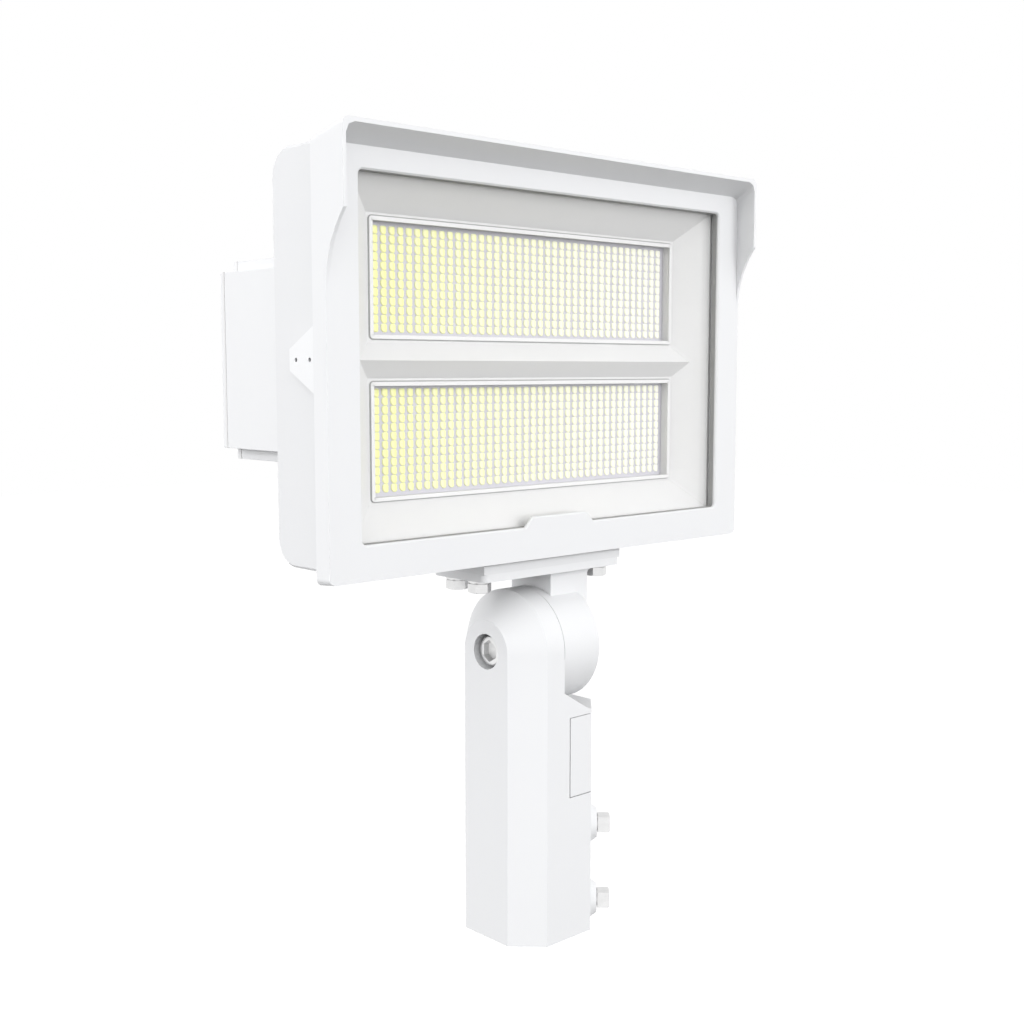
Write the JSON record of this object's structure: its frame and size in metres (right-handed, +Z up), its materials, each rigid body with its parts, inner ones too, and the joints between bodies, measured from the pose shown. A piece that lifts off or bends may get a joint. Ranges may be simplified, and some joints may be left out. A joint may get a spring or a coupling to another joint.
{
  "type": "led flood light",
  "caption": "Outdoor area flood light: finned rectangular LED head with a visor bezel, on a tilting knuckle with a slip-fitter socket for a round pole tenon.",
  "frame": {"origin": "centre of the slip-fitter socket's mouth, on the pole's axis", "axes": "+Z up along the pole, -Y the way the lens faces at rest, +X to the right seen from the front"},
  "size_m": [0.3596, 0.143, 0.502],
  "materials": {
    "cast_white": "matte",
    "stainless": "satin",
    "dark_rubber": "matte",
    "pale_silicone": "matte",
    "clear_glass": "polished",
    "reflector_white": "satin",
    "board_white": "satin",
    "led_phosphor": "gloss",
    "driver_case": "matte",
    "surge_case": "matte"
  },
  "bodies": {
    "arm": {"slip_fitter_arm": "cast_white", "wiring_cover": "cast_white", "wiring_cover_gasket": "dark_rubber", "wiring_cover_screws": "stainless", "pivot_bolt": "stainless", "pivot_washer": "stainless", "pivot_nut": "stainless"},
    "head": {"knuckle_bracket": "cast_white", "flange_gasket": "pale_silicone", "flange_washers": "stainless", "flange_bolts": "stainless", "housing": "cast_white", "driver_box": "cast_white", "bezel_frame": "cast_white", "bezel_gasket": "pale_silicone", "bezel_screws": "stainless", "lens_gasket": "dark_rubber", "lens_glass": "clear_glass", "reflector": "reflector_white", "led_board_upper": "board_white", "led_board_lower": "board_white", "led_board_screws": "stainless", "wire_grommet": "dark_rubber", "driver_unit": "driver_case", "driver_unit_screws": "stainless", "surge_protector": "surge_case", "driver_gasket": "pale_silicone", "driver_cover": "cast_white", "driver_cover_screws": "stainless"},
    "set_screw_upper": {"set_screw_upper": "stainless"},
    "set_screw_lower": {"set_screw_lower": "stainless"}
  },
  "joints": [
    {"name": "head_tilt", "type": "hinge", "parent": "arm", "child": "head", "pos_m": [0, 0, 0.19], "axis": [1, 0, 0], "range_deg": [-90, 90]},
    {"name": "set_screw_upper_travel", "type": "slide", "parent": "arm", "child": "set_screw_upper", "axis": [0.7071, -0.7071, 0], "range_m": [0, 0.01]},
    {"name": "set_screw_lower_travel", "type": "slide", "parent": "arm", "child": "set_screw_lower", "axis": [0.7071, -0.7071, 0], "range_m": [0, 0.01]}
  ]
}
